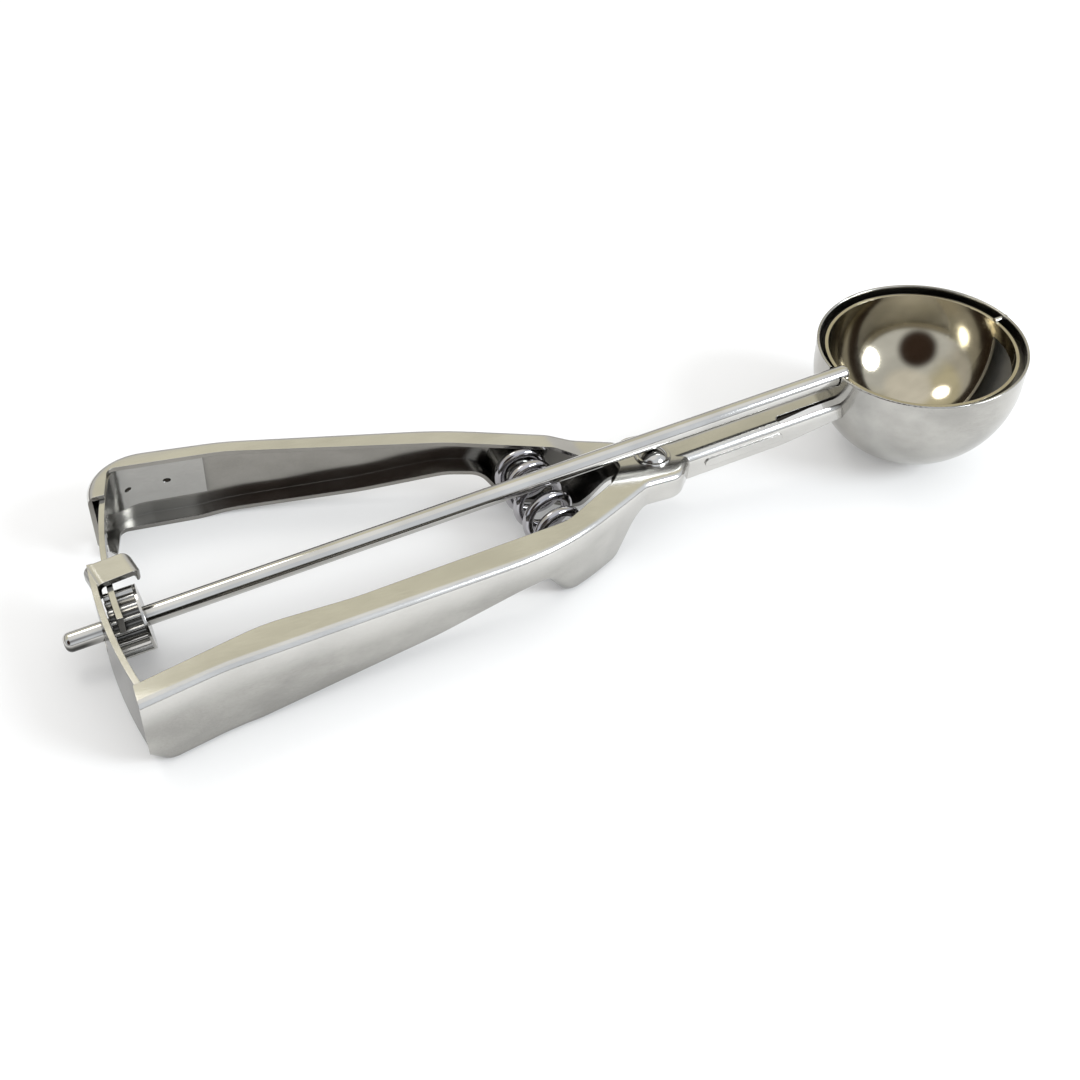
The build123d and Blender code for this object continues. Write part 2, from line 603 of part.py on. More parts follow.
os.makedirs("parts", exist_ok=True)
for name, piece in PIECES.items():
    export_step(REST * piece, f"parts/{name}.step")
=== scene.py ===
import json
import math

import bpy
from bpy.props import FloatProperty, FloatVectorProperty, IntProperty, PointerProperty
from mathutils import Matrix, Vector


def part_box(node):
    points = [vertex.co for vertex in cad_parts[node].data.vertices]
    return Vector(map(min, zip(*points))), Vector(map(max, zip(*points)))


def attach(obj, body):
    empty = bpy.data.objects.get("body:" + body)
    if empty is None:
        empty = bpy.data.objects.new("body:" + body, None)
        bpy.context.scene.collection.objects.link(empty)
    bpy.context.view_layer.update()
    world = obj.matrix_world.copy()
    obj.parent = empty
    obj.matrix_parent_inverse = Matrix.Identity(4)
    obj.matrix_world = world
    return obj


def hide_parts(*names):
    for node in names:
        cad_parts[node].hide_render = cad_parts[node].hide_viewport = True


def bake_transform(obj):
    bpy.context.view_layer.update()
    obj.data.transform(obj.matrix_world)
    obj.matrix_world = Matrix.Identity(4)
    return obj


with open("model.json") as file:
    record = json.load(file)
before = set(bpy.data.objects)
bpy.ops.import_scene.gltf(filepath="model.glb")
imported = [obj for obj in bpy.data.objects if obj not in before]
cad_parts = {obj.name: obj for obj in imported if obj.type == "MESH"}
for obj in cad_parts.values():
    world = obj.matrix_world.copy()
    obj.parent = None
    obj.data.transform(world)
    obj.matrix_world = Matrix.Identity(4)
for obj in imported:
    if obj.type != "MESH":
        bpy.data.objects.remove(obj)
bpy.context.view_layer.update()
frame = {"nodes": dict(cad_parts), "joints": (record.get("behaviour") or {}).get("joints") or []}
NODES = frame["nodes"]

bl_info = {
    "name": "Lever scoop",
    "version": (1, 0, 0),
    "blender": (4, 5, 0),
    "location": "View3D > Sidebar > Scoop",
    "description": "Dresses a lever ice cream scoop in satin and polished steel, on a pale floor",
    "category": "Object",
}

MM = 0.001
PIVOT, EJECTOR_TURN = frame["joints"]
PIVOT_PLACE = Vector(PIVOT["pos_m"])
ROD_PLACE = Vector(EJECTOR_TURN["pos_m"])
ROD_WAY = Vector(EJECTOR_TURN["axis"]).normalized()
HANDLE_TURN = (0.0, math.atan2(PIVOT["axis"][0], PIVOT["axis"][2]), 0.0)
ROD_TURN = (0.0, -math.atan2(ROD_WAY.z, ROD_WAY.x), 0.0)
BOWL_OUTER = (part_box("bowl")[1].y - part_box("bowl")[0].y) / 2

# Where a mask changes: one end of its range up to the first number, the other from the second on.
LOOKS_UP = (0.35, 0.9)                          # upward part of the normal
LEVEL_FACE = (0.7, 0.95)
FLANGE_FACE = (0.6, 0.95)
ROD_LIT = (-0.75, -0.35)
TAIL_LIT = (-0.05, 0.5)
RECESS_OPEN = (0.15, 0.8)                       # openness of the surface
CORNER_SHADE_OPEN = (0.22, 0.55)
# Painted highlight on the handles, by height and by X:
HIGHLIGHT_EDGE = (-8.5 * MM, -1.2 * MM)          # height over the pivot
HIGHLIGHT_FRONT = (-30 * MM, 25 * MM)            # X
INNER_SIDE = (-14 * MM, -4 * MM)                # Y from the pivot times the normal's Y
TAIL_START = (-113 * MM, -108 * MM)             # X
CHANNEL_HALF_WIDTH = (3.1 * MM, 3.5 * MM)       # Y from the pivot
CHANNEL_TOP = (-1.7 * MM, -1.1 * MM)            # height over the pivot
CHANNEL_START = (8 * MM, 10 * MM)               # X from the pivot
TOOTH_CREST = (5.4 * MM, 6.4 * MM)              # distance from the rod's axis
RACK_LEG = (29 * MM, 32 * MM)                   # Y
BOWL_WALL_MIDDLE = (0.6 * MM, 0.4 * MM)         # depth under the bowl's outer face
PIT_EDGE = (0.55, 1.0)                          # distance in pit sizes
MIDDLING = (0.3, 0.7)                           # noise

# Sizes of the noise that varies a finish, along X, Y and Z.
SATIN_CLOUDS = (18 * MM, 9 * MM, 9 * MM)
SATIN_GRIT = (0.5 * MM, 0.35 * MM, 0.35 * MM)
PRESS_WAVES = (42 * MM, 8 * MM, 8 * MM)
DRAWING_MARKS = (9 * MM, 0.15 * MM, 0.15 * MM)
POLISH_CLOUDS = (12 * MM, 5 * MM, 5 * MM)

GRIT_HEIGHT = 0.0012 * MM
MATT_ROUGHNESS = 0.32                           # added where a face is matt
SHADED_SHARE = 0.42                             # of SHADED_COLOUR, where a face is shaded
# Painted shade along inside corners.
CORNER_SHADE_COLOUR = (0.05, 0.048, 0.045)
# Real burn of the weld pits, and painted shade inside the shank's channel.
BURN_AND_SHADE_COLOUR = (0.03, 0.025, 0.02)
SHADED_COLOUR = (0.13, 0.115, 0.09)

WELD_PITS = (Vector((-95.85, 35.02, 10.48)) * MM, Vector((-87.15, 34.06, 10.67)) * MM)
PIT_SIZE = (0.95 * MM, 2.5 * MM, 0.6 * MM)
PIT_DEPTH = 0.4 * MM

# Depth under the pitch circle, in modules.
TOOTH_ROOT = 1.25
PINION_CORE = 1.2

COIL_STEPS = 420
WIRE_SIDES = 20
WHEEL_SIDES = 96

# Room that the steel mirrors: colours from low to high, and the heights at which they change.
WARM_SIDE = ((0.10, 0.09, 0.08), (0.70, 0.69, 0.66), (0.80, 0.765, 0.60))
WARM_HEIGHTS = ((0.0, 0.35), (0.46, 0.62))
COOL_SIDE = ((0.20, 0.18, 0.16), (0.86, 0.90, 0.96))
COOL_HEIGHTS = ((0.0, 0.18),)
SIDE_CHANGE = (-0.25, 0.25)
OVERHEAD = (1.05, 1.05, 1.04)
OVERHEAD_HEIGHT = (0.84, 0.94)
DOORWAY = (0.05, 0.03, 0.022)
DOORWAY_WAY = (-0.56, -0.605, 0.565)
DOORWAY_EDGE = (0.87, 0.95)
WHITE = (1.0, 1.0, 1.0)
BACKDROP = (0.93, 0.93, 0.93)

# Place, diameter and colour.
LAMPS = {
    "window": ((-0.22, 0.42, 0.72), 0.28, (1.0, 0.98, 0.95)),
    "front_light": ((0.45, -0.45, 0.42), 0.30, (0.90, 0.95, 1.0)),
}
FLOOR_HALF = 3.0


def between(first, last):
    """Matrix that puts Z on the line from first to last, its origin at first."""
    turn = (last - first).to_track_quat("Z", "Y").to_matrix().to_4x4()
    return Matrix.Translation(first) @ turn


# ---- sizes and colours ---------------------------------------------------------------------------
class ScoopSteel(bpy.types.PropertyGroup):
    satin_colour: FloatVectorProperty(
        name="Satin colour", description="Colour of the tumbled steel of handles and bowl",
        subtype="COLOR", default=(0.44, 0.43, 0.405), min=0, max=1)
    # Painted highlight on the handles, the plate and the rack; on the bowl, the paler inner face.
    bright_colour: FloatVectorProperty(
        name="Bright colour", description="Colour where handling has polished the pressed edges",
        subtype="COLOR", default=(0.62, 0.61, 0.585), min=0, max=1)
    satin_roughness: FloatProperty(
        name="Satin roughness", description="Roughness of the tumbled steel", default=0.17,
        min=0, max=1)
    polish_colour: FloatVectorProperty(
        name="Polished colour", description="Colour of the polished steel of rod and rivet",
        subtype="COLOR", default=(0.60, 0.59, 0.565), min=0, max=1)
    ejector_colour: FloatVectorProperty(
        name="Ejector colour", description="Colour of the steel inside the bowl", subtype="COLOR",
        default=(0.46, 0.42, 0.33), min=0, max=1)
    polish_roughness: FloatProperty(
        name="Polished roughness", description="Roughness of the polished steel", default=0.08,
        min=0, max=1)
    grain_length: FloatProperty(
        name="Grain length", description="Length of the fine marks that finishing leaves",
        default=3.0 * MM, unit="LENGTH")
    grain_width: FloatProperty(
        name="Grain width", description="Width of the fine marks that finishing leaves",
        default=0.12 * MM, unit="LENGTH")
    edge_round: FloatProperty(
        name="Edge round", description="How far the cut edges of the sheet are broken",
        default=0.18 * MM, unit="LENGTH")
    press_wave: FloatProperty(
        name="Press wave", description="Height of the slow waves that pressing leaves in the sheet",
        default=0.22 * MM, unit="LENGTH")
    # Painted shade: the next three set how far and how dark recesses and inside corners are
    # darkened by their openness.
    recess_depth: FloatProperty(
        name="Recess depth", description="Width of the recesses in which the steel stays dull",
        default=14.0 * MM, unit="LENGTH")
    recess_shade: FloatProperty(
        name="Recess tone", description="Brightness of the steel deep in a recess", default=0.42,
        min=0, max=1)
    corner_depth: FloatProperty(
        name="Corner depth", description="Width of the dark line along inside corners and seams",
        default=1.8 * MM, unit="LENGTH")


class ScoopSpring(bpy.types.PropertyGroup):
    turns: FloatProperty(
        name="Turns", description="Turns of wire from end to end", default=5.6, min=2, max=20)
    wire: FloatProperty(
        name="Wire", description="Thickness of the spring wire", default=2.4 * MM, unit="LENGTH")
    diameter: FloatProperty(
        name="Diameter", description="Outer diameter of the coil", default=13.2 * MM, unit="LENGTH")
    colour: FloatVectorProperty(
        name="Colour", description="Colour of the spring steel", subtype="COLOR",
        default=(0.46, 0.45, 0.47), min=0, max=1)


class ScoopPinion(bpy.types.PropertyGroup):
    teeth: IntProperty(name="Teeth", description="Teeth of the pinion", default=18, min=6, max=60)
    module: FloatProperty(
        name="Module", description="Pitch diameter over the number of teeth", default=0.7 * MM,
        unit="LENGTH")
    width: FloatProperty(
        name="Width", description="Length of the teeth along the rod", default=5.9 * MM,
        unit="LENGTH")
    flange: FloatProperty(
        name="Flange", description="Thickness of the rim in front of the teeth", default=0.6 * MM,
        unit="LENGTH")


class ScoopStage(bpy.types.PropertyGroup):
    floor_colour: FloatVectorProperty(
        name="Floor colour", description="Colour of the plain floor", subtype="COLOR",
        default=(0.74, 0.74, 0.735), min=0, max=1)
    floor_glow: FloatProperty(
        name="Floor glow", description="What the camera and the metal see on top of the lit floor",
        default=0.16, min=0, max=1)
    window_power: FloatProperty(
        name="Window power", description="Power of the large soft light behind the lever",
        default=0.9, unit="POWER")
    front_power: FloatProperty(
        name="Front power", description="Power of the cool light on the bowl's side", default=3.4,
        unit="POWER")
    camera_place: FloatVectorProperty(
        name="Camera place", description="Where the camera stands", subtype="TRANSLATION",
        default=(-0.106776, -0.187285, 0.18960))
    camera_aim: FloatVectorProperty(
        name="Camera aim", description="Point that the camera looks at", subtype="TRANSLATION",
        default=(-0.017196, -0.016395, 0.0120))
    camera_roll: FloatProperty(
        name="Camera roll", description="Turn of the camera about its own line of sight",
        subtype="ANGLE", default=math.radians(4.24))
    camera_lens: FloatProperty(
        name="Lens", description="Focal length of the camera on a 36 mm sensor, in millimetres",
        default=40.0)


GROUPS = {
    "scoop_steel": ScoopSteel, "scoop_spring": ScoopSpring, "scoop_pinion": ScoopPinion,
    "scoop_stage": ScoopStage,
}


# ---- materials -----------------------------------------------------------------------------------
class Wire:
    """A node's socket with arithmetic: an expression on wires adds its Math nodes."""

    def __init__(self, tree, socket):
        self.tree = tree
        self.socket = socket

    def _math(self, operation, *values):
        node = add(self.tree, "ShaderNodeMath", {"operation": operation}, dict(enumerate(values)))
        return Wire(self.tree, node.outputs[0])

    def __add__(self, other):
        return self._math("ADD", self, other)

    def __radd__(self, other):
        return self._math("ADD", other, self)

    def __sub__(self, other):
        return self._math("SUBTRACT", self, other)

    def __rsub__(self, other):
        return self._math("SUBTRACT", other, self)

    def __mul__(self, other):
        return self._math("MULTIPLY", self, other)

    def __rmul__(self, other):
        return self._math("MULTIPLY", other, self)

    def __truediv__(self, other):
        return self._math("DIVIDE", self, other)

    def smooth(self, low, high):
        """0 below low, 1 above high, eased between them."""
        node = add(self.tree, "ShaderNodeMapRange", {"interpolation_type": "SMOOTHSTEP"},
                   {"Value": self, "From Min": low, "From Max": high})
        return Wire(self.tree, node.outputs["Result"])

    def most(self, other):
        return self._math("MAXIMUM", self, other)

    def distance(self):
        return self._math("ABSOLUTE", self)


def plug(tree, socket, value):
    if isinstance(value, Wire):
        tree.links.new(value.socket, socket)
    elif isinstance(value, bpy.types.NodeSocket):
        tree.links.new(value, socket)
    elif hasattr(socket, "default_value"):
        wide = socket.type == "RGBA" and len(value) == 3
        socket.default_value = (*value, 1.0) if wide else value


def add(tree, kind, settings=None, values=None):
    """New node with its settings, then the values or links of its sockets, by name or number."""
    node = tree.nodes.new(kind)
    for key, value in (settings or {}).items():
        setattr(node, key, value)
    for key, value in (values or {}).items():
        plug(tree, node.inputs[key], value)
    return node


def mixed(tree, factor, first, second):
    """Colour between first and second."""
    node = add(tree, "ShaderNodeMix", {"data_type": "RGBA"})
    plug(tree, node.inputs[0], factor)
    plug(tree, node.inputs[6], first)
    plug(tree, node.inputs[7], second)
    return node.outputs[2]


def tinted(colour, factor):
    return tuple(min(1.0, channel * factor) for channel in colour)


class Finish:
    """A steel finish under construction: object coordinates in, one metal shader out."""

    def __init__(self, name, colour, roughness):
        self.material = bpy.data.materials.new(name)
        self.material.use_nodes = True
        self.material.diffuse_color = (*colour, 1.0)
        self.tree = self.material.node_tree
        self.tree.nodes.clear()
        self.colour = colour
        self.roughness = roughness
        self.bump = None
        place = add(self.tree, "ShaderNodeTexCoord")
        self.place = place.outputs["Object"]
        self.metal = add(self.tree, "ShaderNodeBsdfPrincipled", {}, {"Metallic": 1.0})
        output = add(self.tree, "ShaderNodeOutputMaterial")
        self.tree.links.new(self.metal.outputs[0], output.inputs["Surface"])

    def scaled(self, sizes, centre=(0, 0, 0), turn=(0, 0, 0)):
        """Object coordinates counted in sizes, from a centre."""
        shifted = add(self.tree, "ShaderNodeMapping", {"vector_type": "TEXTURE"},
                      {"Vector": self.place, "Location": centre, "Rotation": turn, "Scale": sizes})
        return shifted.outputs[0]

    def noise(self, sizes, detail=2.0, turn=(0, 0, 0)):
        """Noise from 0 to 1 with marks of the given sizes."""
        node = add(self.tree, "ShaderNodeTexNoise", {}, {
            "Vector": self.scaled(sizes, turn=turn), "Scale": 1.0, "Detail": detail})
        return Wire(self.tree, node.outputs["Fac"])

    def far_from(self, point, sizes=(1, 1, 1), turn=(0, 0, 0)):
        """Distance from a point, in sizes."""
        node = add(self.tree, "ShaderNodeVectorMath", {"operation": "LENGTH"},
                   {0: self.scaled(sizes, centre=point, turn=turn)})
        return Wire(self.tree, node.outputs["Value"])

    def along(self, axis, centre=(0, 0, 0), turn=(0, 0, 0)):
        """Coordinate 0, 1 or 2 in a turned frame, in metres."""
        parts = add(self.tree, "ShaderNodeSeparateXYZ", {}, {
            0: self.scaled((1, 1, 1), centre=centre, turn=turn)})
        return Wire(self.tree, parts.outputs[axis])

    def facing_up(self, low=LOOKS_UP[0], high=LOOKS_UP[1]):
        """1 on faces that look up, 0 on upright ones or, with a low below 0, only underneath."""
        node = add(self.tree, "ShaderNodeNewGeometry")
        parts = add(self.tree, "ShaderNodeSeparateXYZ", {}, {0: node.outputs["Normal"]})
        return Wire(self.tree, parts.outputs[2]).smooth(low, high)

    def raise_by(self, height, amount):
        """Adds a bump of height 0 to 1, amount in metres."""
        bump = add(self.tree, "ShaderNodeBump", {}, {
            "Height": height, "Distance": amount, "Strength": 1.0})
        if self.bump:
            plug(self.tree, bump.inputs["Normal"], self.bump)
        self.bump = bump.outputs[0]

    def openness(self, reach):
        """1 where the surface lies open, towards 0 in corners and recesses narrower than reach."""
        node = add(self.tree, "ShaderNodeAmbientOcclusion", {"samples": 8, "only_local": False},
                   {"Distance": reach})
        return Wire(self.tree, node.outputs["AO"])

    def shade_recesses(self, shade, deep, steel, reach):
        """Painted shade: darker steel in recesses up to reach wide and dark lines in the inside
        corners, from the surface's openness.
        """
        unshaded = self.openness(reach).smooth(*RECESS_OPEN).most(self.facing_up(*LEVEL_FACE) * 0.7)
        shadowed = mixed(self.tree, unshaded, deep, shade)
        corner = self.openness(steel.corner_depth).smooth(*CORNER_SHADE_OPEN)
        return mixed(self.tree, corner, CORNER_SHADE_COLOUR, shadowed)

    def soften_edges(self, radius):
        node = add(self.tree, "ShaderNodeBevel", {"samples": 6}, {"Radius": radius})
        if self.bump:
            plug(self.tree, node.inputs["Normal"], self.bump)
        self.bump = node.outputs[0]

    def done(self):
        plug(self.tree, self.metal.inputs["Base Color"], self.colour)
        plug(self.tree, self.metal.inputs["Roughness"], self.roughness)
        if self.bump:
            plug(self.tree, self.metal.inputs["Normal"], self.bump)
        return self.material


def steel_marks(finish, steel):
    """Short fine marks along X, slow clouds and their mix, each from 0 to 1."""
    marks = finish.noise((steel.grain_length, steel.grain_width, steel.grain_width), 3.0)
    clouds = finish.noise(SATIN_CLOUDS, 3.0)
    return marks, clouds, (clouds * 0.7 + marks * 0.3).smooth(*MIDDLING)


def satin_steel(name, steel, brightness=None, tone=1.0, roughness=1.0, recess=1.0, burn_and_shade=None,
                dent=0.0, wave=1.0, matt=None, shaded=None):
    """Tumbled sheet steel. brightness, stain, matt and shaded are functions that give a mask.

    tone, roughness, recess and wave scale the steel's own values, and dent is the depth in metres
    of the stained places. Brightness is mostly a painted highlight, the burn colour marks real
    burns or painted shade, and the shaded colour and the recesses are painted shade.
    """
    finish = Finish(name, steel.satin_colour, steel.satin_roughness)
    tree = finish.tree
    marks, clouds, mottle = steel_marks(finish, steel)
    shade = mixed(tree, mottle, tinted(steel.satin_colour, 0.80 * tone),
                  tinted(steel.satin_colour, 1.16 * tone))
    # Brighter steel: mostly a painted highlight, on the bowl its paler inner face.
    if brightness:
        bright = mixed(tree, mottle, tinted(steel.bright_colour, 0.92),
                       tinted(steel.bright_colour, 1.08))
        shade = mixed(tree, brightness(finish), shade, bright)
    if shaded:
        shade = mixed(tree, shaded(finish) * SHADED_SHARE, shade, SHADED_COLOUR)
    # Painted shade in recesses and inside corners.
    deep = tinted(steel.satin_colour, steel.recess_shade * tone)
    shade = finish.shade_recesses(shade, deep, steel, steel.recess_depth * recess)
    # Real weld burns, or painted shade inside the shank's channel.
    if burn_and_shade:
        shade = mixed(tree, burn_and_shade(finish), shade, BURN_AND_SHADE_COLOUR)
    if dent:
        finish.raise_by(1 - burn_and_shade(finish), dent)
    finish.colour = shade
    base = steel.satin_roughness * roughness
    finish.roughness = base * 0.72 + marks * (base * 0.30) + clouds * (base * 0.28)
    if matt:
        finish.roughness = finish.roughness + matt(finish) * MATT_ROUGHNESS
    finish.raise_by(finish.noise(SATIN_GRIT, 1.0), GRIT_HEIGHT)
    finish.raise_by(finish.noise(PRESS_WAVES, 1.0), wave * steel.press_wave)
    finish.soften_edges(steel.edge_round)
    return finish.done()


def polished_steel(name, steel, colour=None, roughness=1.0, recess=1.0, brightness=None,
                   dark=0.12):
    """Polished steel with faint drawing marks along X.

    Where the mask that brightness gives is 0, the colour is dark times itself, a painted shade.
    """
    colour = colour or steel.polish_colour
    finish = Finish(name, colour, steel.polish_roughness)
    tree = finish.tree
    marks = finish.noise(DRAWING_MARKS)
    clouds = finish.noise(POLISH_CLOUDS)
    shade = mixed(tree, clouds.smooth(*MIDDLING), tinted(colour, 0.92), tinted(colour, 1.06))
    if brightness:
        shade = mixed(tree, brightness(finish), tinted(colour, dark), shade)
    if recess:
        # Painted shade in recesses and inside corners.
        deep = tinted(colour, steel.recess_shade)
        shade = finish.shade_recesses(shade, deep, steel, steel.recess_depth * recess)
    finish.colour = shade
    base = steel.polish_roughness * roughness
    finish.roughness = base * 0.7 + marks * (base * 0.3) + clouds * (base * 0.3)
    finish.soften_edges(steel.edge_round)
    return finish.done()


def painted_highlight(finish):
    """Painted highlight: 1 on the handles' top edges, upward faces and ends near the bowl, but low
    on inner walls.
    """
    edge = finish.along(2, PIVOT_PLACE, HANDLE_TURN).smooth(*HIGHLIGHT_EDGE)
    front = finish.along(0).smooth(*HIGHLIGHT_FRONT)
    outside = 1 - inner_wall(finish) * 0.9
    return edge.most(front).most(finish.facing_up(*FLANGE_FACE)) * outside


def inner_wall(finish):
    """1 on the handles' walls that face the rod from afar, 0 on the outer ones."""
    node = add(finish.tree, "ShaderNodeNewGeometry")
    parts = add(finish.tree, "ShaderNodeSeparateXYZ", {}, {0: node.outputs["Normal"]})
    inwards = Wire(finish.tree, parts.outputs[1]) * finish.along(1, PIVOT_PLACE)
    return 1 - inwards.smooth(*INNER_SIDE)


def bowl_inside(finish):
    """1 on the bowl's inner face, 0 outside."""
    low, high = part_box("bowl")
    centre = Vector((high.x - BOWL_OUTER, (low.y + high.y) / 2, low.z + BOWL_OUTER))
    inner, outer = (BOWL_OUTER - depth for depth in BOWL_WALL_MIDDLE)
    return 1 - finish.far_from(centre).smooth(inner, outer)


def rod_light_side(finish):
    """0 on the rod's lower side, which is wider on the tail behind the guide plate."""
    tail = 1 - finish.along(0).smooth(*TAIL_START)
    return finish.facing_up(*ROD_LIT) * (1 - tail) + finish.facing_up(*TAIL_LIT) * tail


def shank_inside(finish):
    """1 inside the channel that carries the bowl, where the steel gets a painted shade."""
    side = finish.along(1, PIVOT_PLACE).distance().smooth(*CHANNEL_HALF_WIDTH)
    top = finish.along(2, PIVOT_PLACE, ROD_TURN).smooth(*CHANNEL_TOP)
    return (1 - side) * (1 - top) * finish.along(0, PIVOT_PLACE).smooth(*CHANNEL_START)


def tooth_crest(finish):
    """1 on the crests of the pinion's teeth, 0 in the gaps between them."""
    endless = 1000
    return finish.far_from(ROD_PLACE, (endless, 1, 1), ROD_TURN).smooth(*TOOTH_CREST)


def rack_light(finish):
    """1 on top edges, and part of the way there on the leg that lies on the lever."""
    return finish.facing_up().most(finish.along(1).smooth(*RACK_LEG) * 0.45)


def weld_pits(finish):
    """Two small burnt dimples where the rack's leg is welded to the lever."""
    pit = None
    for place in WELD_PITS:
        spot = 1 - finish.far_from(place, PIT_SIZE).smooth(*PIT_EDGE)
        pit = spot if pit is None else pit.most(spot)
    return pit


def dress(node, material):
    """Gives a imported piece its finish."""
    piece = NODES[node]
    for slot in piece.material_slots:
        slot.material = material
    if not piece.material_slots:
        piece.data.materials.append(material)


# ---- pieces made by Geometry Nodes ---------------------------------------------------------------
class Growing:
    """A Geometry Nodes tree with named inputs, built from add() and turned into a plain mesh."""

    def __init__(self, name):
        self.tree = bpy.data.node_groups.new(name, "GeometryNodeTree")
        self.tree.interface.new_socket("Geometry", in_out="OUTPUT",
                                       socket_type="NodeSocketGeometry")
        self.values = {}
        self.source = self.tree.nodes.new("NodeGroupInput")

    def size(self, name, value, kind="NodeSocketFloat"):
        """Named input; returns it as a wire."""
        item = self.tree.interface.new_socket(name, in_out="INPUT", socket_type=kind)
        self.values[item.identifier] = value
        return Wire(self.tree, self.source.outputs[name])

    def node(self, kind, settings=None, values=None):
        return add(self.tree, kind, settings, values)

    def vector(self, x, y, z):
        return self.node("ShaderNodeCombineXYZ", {}, {0: x, 1: y, 2: z}).outputs[0]

    def wave(self, operation, value):
        node = self.node("ShaderNodeMath", {"operation": operation}, {0: value})
        return Wire(self.tree, node.outputs[0])

    def plain(self, name, shape, material):
        """Ends the tree with real geometry and a material, and returns the evaluated plain mesh."""
        real = self.node("GeometryNodeRealizeInstances", {}, {0: shape})
        dressed = self.node("GeometryNodeSetMaterial", {}, {
            "Geometry": real.outputs[0], "Material": material})
        sink = self.tree.nodes.new("NodeGroupOutput")
        self.tree.links.new(dressed.outputs[0], sink.inputs[0])
        holder = bpy.data.objects.new(name, bpy.data.meshes.new(name))
        bpy.context.scene.collection.objects.link(holder)
        grow = holder.modifiers.new("Grow", "NODES")
        grow.node_group = self.tree
        for identifier, value in self.values.items():
            grow[identifier] = value
        settled = holder.evaluated_get(bpy.context.evaluated_depsgraph_get())
        mesh = bpy.data.meshes.new_from_object(settled)
        bpy.data.objects.remove(holder)
        mesh.name = name
        return mesh


def put(name, mesh, place, body, slot, *nodes):
    """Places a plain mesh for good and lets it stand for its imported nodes."""
    mesh.transform(place)
    piece = bpy.data.objects.new(name, mesh)
    bpy.context.scene.collection.objects.link(piece)
    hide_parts(*nodes)
    if body:
        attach(piece, body)
    return piece


def spring_mesh(spring, length, material):
    """Closed-ended compression spring of round wire, standing on z = 0."""
    grow = Growing("spring_coil")
    turns = grow.size("Turns", spring.turns)
    wire = grow.size("Wire radius", spring.wire / 2)
    reach = grow.size("Coil radius", (spring.diameter - spring.wire) / 2)
    height = grow.size("Height", length - spring.wire)
    line = grow.node("GeometryNodeCurvePrimitiveLine")
    steps = grow.node("GeometryNodeResampleCurve", {}, {0: line.outputs[0], "Count": COIL_STEPS})
    along = Wire(grow.tree, grow.node("GeometryNodeSplineParameter").outputs["Factor"])
    angle = along * turns * (2 * math.pi)
    closed_end, closed_rise = 0.09, 0.12
    open_part = grow.node("ShaderNodeClamp", {}, {0: (along - closed_end) / (1 - 2 * closed_end)})
    rise = along * closed_rise + Wire(grow.tree, open_part.outputs[0]) * (1 - closed_rise)
    x = grow.wave("COSINE", angle) * reach
    y = grow.wave("SINE", angle) * reach
    place = grow.vector(x, y, rise * height)
    coil = grow.node("GeometryNodeSetPosition", {}, {
        "Geometry": steps.outputs[0], "Position": place})
    ring = grow.node("GeometryNodeCurvePrimitiveCircle", {}, {
        "Resolution": WIRE_SIDES, "Radius": wire})
    tube = grow.node("GeometryNodeCurveToMesh", {}, {
        "Curve": coil.outputs[0], "Profile Curve": ring.outputs[0], "Fill Caps": True})
    smooth = grow.node("GeometryNodeSetShadeSmooth", {}, {0: tube.outputs[0], "Shade Smooth": True})
    return grow.plain("return_spring_coil", smooth.outputs[0], material)


def tooth_mesh(pinion):
    """One tooth of the pinion along Z, its crest and root rounded, pointing along +X."""
    pitch = pinion.module * pinion.teeth / 2
    root = pitch - TOOTH_ROOT * pinion.module
    top = pitch + pinion.module
    # Radius and half width in steps, from inside the core to the crest.
    flank = (
        (root * 0.97, 0.46), (root, 0.40), (root + 0.25 * pinion.module, 0.31), (pitch, 0.235),
        (top - 0.22 * pinion.module, 0.14), (top - 0.04 * pinion.module, 0.085),
    )
    step = math.pi * pinion.module
    outline = [(radius, -half * step) for radius, half in flank] + [(top, 0.0)]
    outline += [(x, -y) for x, y in reversed(outline[:-1])]
    low_ring = [(x, y, 0.0) for x, y in outline]
    high_ring = [(x, y, pinion.width) for x, y in outline]
    count = len(outline)
    faces = [(i, (i + 1) % count, count + (i + 1) % count, count + i) for i in range(count)]
    faces += [tuple(reversed(range(count))), tuple(range(count, 2 * count))]
    mesh = bpy.data.meshes.new("tooth")
    mesh.from_pydata(low_ring + high_ring, [], faces)
    mesh.update()
    return mesh


def disc_at(grow, radius, depth, height):
    """Round disc of some depth, its middle at a height."""
    disc = grow.node("GeometryNodeMeshCylinder", {}, {
        "Vertices": WHEEL_SIDES, "Radius": radius, "Depth": depth})
    return grow.node("GeometryNodeTransform", {}, {
        "Geometry": disc.outputs[0], "Translation": grow.vector(0.0, 0.0, height)})


